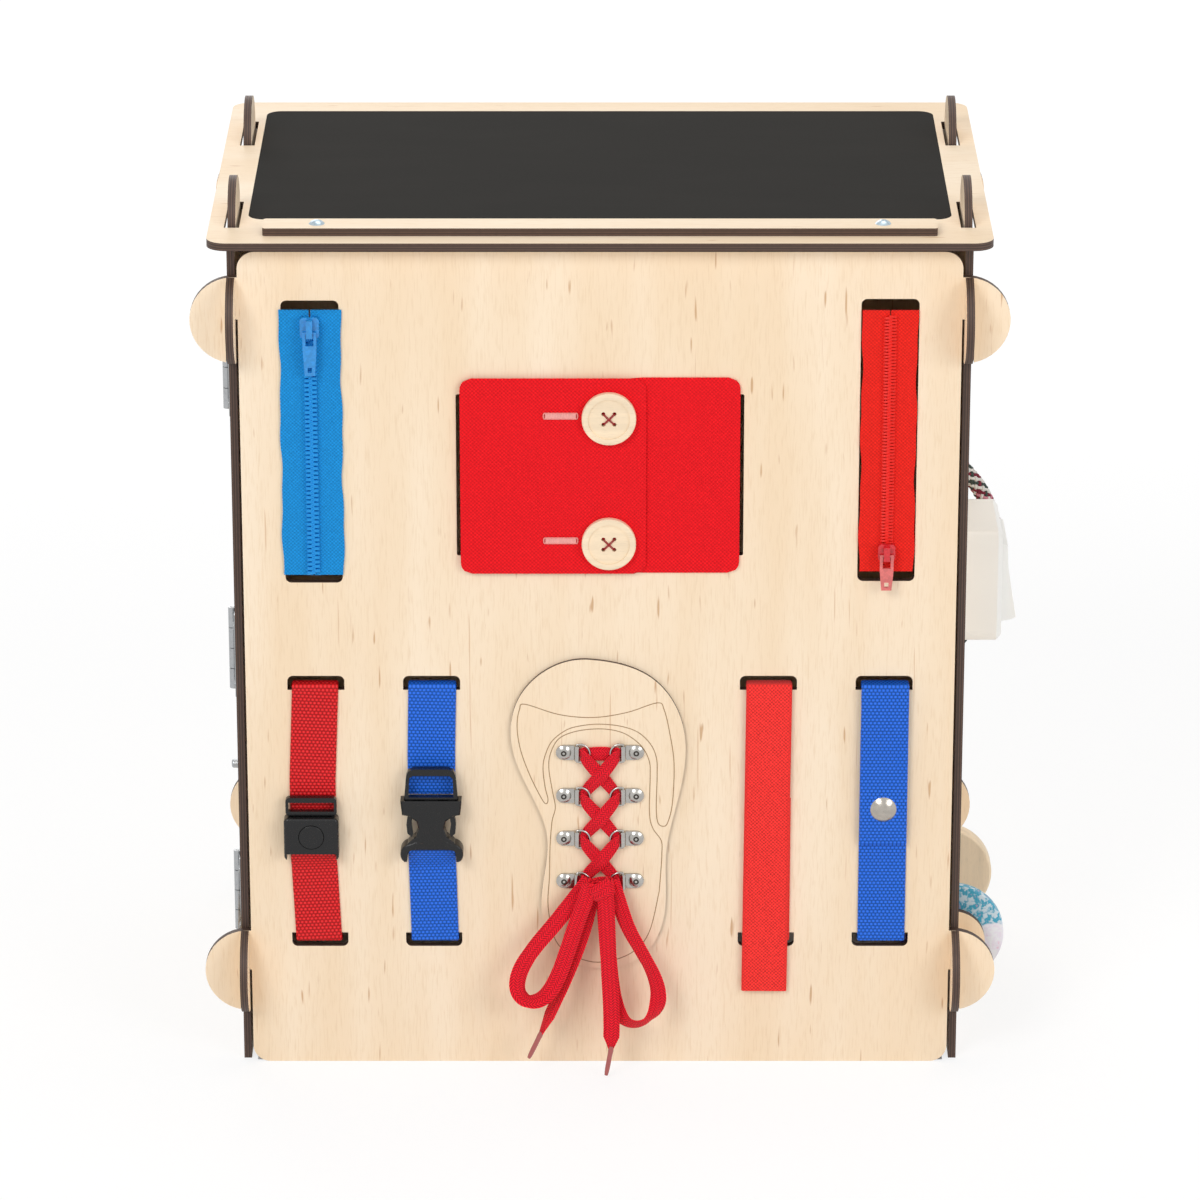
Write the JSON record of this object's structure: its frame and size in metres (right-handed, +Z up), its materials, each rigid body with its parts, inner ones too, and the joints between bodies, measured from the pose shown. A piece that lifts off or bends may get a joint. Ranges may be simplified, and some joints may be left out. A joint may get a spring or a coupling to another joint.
{
  "type": "busy board",
  "caption": "Plywood box for toddlers with zips, buckles, straps, a button flap, a lacing shoe, small doors, a switch, wheels and a chalkboard lid.",
  "frame": {"origin": "middle of the front panel's bottom edge, in the middle of the panel's thickness", "axes": "+X to the right, +Y towards the back panel, +Z up"},
  "size_m": [0.4239, 0.2722, 0.4724],
  "materials": {
    "birch_ply": "sanded birch plywood, laser-cut edges burnt dark",
    "chalk_coating": "matt chalkboard coating on board",
    "zinc_screws": "zinc-plated screw heads",
    "blue_zip_tape": "woven polyester zip tape with moulded teeth",
    "red_zip_tape": "woven polyester zip tape with a nylon coil",
    "blue_enamel": "glossy enamel",
    "red_enamel": "glossy enamel",
    "red_cloth": "plain woven cotton",
    "button_wood": "turned and sanded",
    "red_webbing": "ribbed polypropylene webbing",
    "blue_webbing": "ribbed polypropylene webbing",
    "coral_loop": "hook-and-loop tape",
    "black_buckle": "moulded acetal, satin",
    "snap_chrome": "nickel-plated snap",
    "clip_nickel": "nickel-plated clips and rings",
    "red_lace": "flat braided lace",
    "aglet_film": "heat-shrunk film",
    "hinge_steel": "zinc-plated steel",
    "white_abs": "moulded, satin",
    "braided_rope": "braided polypropylene cord",
    "painted_wheel": "painted plywood",
    "beech": "turned and sanded"
  },
  "bodies": {
    "root": {"front_panel": "birch_ply", "back_panel": "birch_ply", "left_panel": "birch_ply", "right_panel": "birch_ply", "blue_zip_tape": "blue_zip_tape", "red_zip_tape": "red_zip_tape", "flap_over": "red_cloth", "flap_under": "red_cloth", "flap_buttons": "button_wood", "red_strap_lower": "red_webbing", "press_buckle_body": "black_buckle", "blue_strap_lower": "blue_webbing", "side_buckle_socket": "black_buckle", "touch_strap_base": "coral_loop", "snap_strap_base": "blue_webbing", "snap_stud": "snap_chrome", "shoe_plate": "birch_ply", "lace_clips": "clip_nickel", "lace_rings": "clip_nickel", "lacing": "red_lace", "lace_loop_left": "red_lace", "lace_loop_right": "red_lace", "lace_tail_left": "red_lace", "lace_tail_right": "red_lace", "lace_aglets": "aglet_film", "hinge_frame_leaves": "hinge_steel", "bolt_guide": "hinge_steel", "switch_housing": "white_abs", "rope_handle": "braided_rope", "rope_knots": "braided_rope", "wheel_axle": "beech", "wheel_brackets": "birch_ply"},
    "lid": {"lid_panel": "birch_ply", "chalkboard": "chalk_coating", "chalk_ledge": "birch_ply", "ledge_screws": "zinc_screws"},
    "top_door": {"top_door": "birch_ply", "top_hinge_leaf": "hinge_steel"},
    "middle_door": {"middle_door": "birch_ply", "middle_hinge_leaf": "hinge_steel"},
    "bottom_door": {"bottom_door": "birch_ply", "bottom_hinge_leaf": "hinge_steel"},
    "turn_button": {"top_turn_button": "beech"},
    "turn_catch": {"middle_turn_catch": "hinge_steel"},
    "bolt": {"slide_bolt": "hinge_steel"},
    "blue_slider": {"blue_zip_slider": "blue_enamel"},
    "blue_pull": {"blue_zip_pull": "blue_enamel"},
    "red_slider": {"red_zip_slider": "red_enamel"},
    "red_pull": {"red_zip_pull": "red_enamel"},
    "press_button": {"press_button": "black_buckle"},
    "press_tongue": {"press_buckle_tongue": "black_buckle", "red_strap_upper": "red_webbing"},
    "side_prongs": {"side_buckle_prongs": "black_buckle", "blue_strap_upper": "blue_webbing"},
    "touch_flap": {"touch_strap_flap": "coral_loop"},
    "snap_flap": {"snap_strap_flap": "blue_webbing", "snap_cap": "snap_chrome"},
    "rocker": {"switch_rocker": "white_abs"},
    "colour_wheel": {"colour_wheel": "painted_wheel"},
    "wooden_wheel": {"wooden_wheel": "beech"}
  },
  "joints": [
    {"name": "lid_lift", "type": "slide", "parent": "root", "child": "lid", "axis": [0, 0, 1], "range_m": [0, 0.06]},
    {"name": "top_door_hinge", "type": "hinge", "parent": "root", "child": "top_door", "pos_m": [-0.1896, 0.025, 0.376], "axis": [0, 0, 1], "range_deg": [0, 110]},
    {"name": "middle_door_hinge", "type": "hinge", "parent": "root", "child": "middle_door", "pos_m": [-0.1896, 0.025, 0.223], "axis": [0, 0, 1], "range_deg": [0, 110]},
    {"name": "bottom_door_hinge", "type": "hinge", "parent": "root", "child": "bottom_door", "pos_m": [-0.1896, 0.025, 0.087], "axis": [0, 0, 1], "range_deg": [0, 110]},
    {"name": "turn_button_pivot", "type": "hinge", "parent": "root", "child": "turn_button", "pos_m": [-0.1895, 0.189, 0.376], "axis": [1, 0, 0], "range_deg": [0, 90]},
    {"name": "turn_catch_pivot", "type": "hinge", "parent": "root", "child": "turn_catch", "pos_m": [-0.1885, 0.189, 0.223], "axis": [1, 0, 0], "range_deg": [0, 90]},
    {"name": "bolt_slide", "type": "slide", "parent": "root", "child": "bolt", "axis": [0, -1, 0], "range_m": [0, 0.011]},
    {"name": "blue_zip_slide", "type": "slide", "parent": "root", "child": "blue_slider", "axis": [0, 0, -1], "range_m": [0, 0.118]},
    {"name": "blue_pull_swing", "type": "hinge", "parent": "blue_slider", "child": "blue_pull", "pos_m": [-0.14585, -0.0082, 0.4041], "axis": [-1, 0, 0], "range_deg": [0, 150]},
    {"name": "red_zip_slide", "type": "slide", "parent": "root", "child": "red_slider", "axis": [0, 0, 1], "range_m": [0, 0.118]},
    {"name": "red_pull_swing", "type": "hinge", "parent": "red_slider", "child": "red_pull", "pos_m": [0.14585, -0.0082, 0.2851], "axis": [-1, 0, 0], "range_deg": [0, 150]},
    {"name": "press_button_push", "type": "slide", "parent": "root", "child": "press_button", "axis": [0, 1, 0], "range_m": [0, 0.0013], "stiffness_N_per_m": 300},
    {"name": "press_tongue_slide", "type": "slide", "parent": "root", "child": "press_tongue", "axis": [0, 0, 1], "range_m": [0, 0.02], "deforming": ["red_strap_upper"]},
    {"name": "side_prongs_slide", "type": "slide", "parent": "root", "child": "side_prongs", "axis": [0, 0, 1], "range_m": [0, 0.024], "deforming": ["blue_strap_upper"]},
    {"name": "touch_flap_fold", "type": "hinge", "parent": "root", "child": "touch_flap", "pos_m": [0.0869, -0.00455, 0.20955], "axis": [-1, 0, 0], "range_deg": [0, 120]},
    {"name": "snap_flap_fold", "type": "hinge", "parent": "root", "child": "snap_flap", "pos_m": [0.1465, -0.0055, 0.20955], "axis": [-1, 0, 0], "range_deg": [0, 120]},
    {"name": "rocker_tilt", "type": "hinge", "parent": "root", "child": "rocker", "pos_m": [0.2007, 0.088, 0.2425], "axis": [0, 1, 0], "range_deg": [0, 10]},
    {"name": "colour_wheel_spin", "type": "hinge", "parent": "root", "child": "colour_wheel", "pos_m": [0.1852, 0.03, 0.06], "axis": [0, 1, 0], "continuous": true},
    {"name": "wooden_wheel_spin", "type": "hinge", "parent": "root", "child": "wooden_wheel", "pos_m": [0.1852, 0.113, 0.06], "axis": [0, 1, 0], "continuous": true}
  ]
}
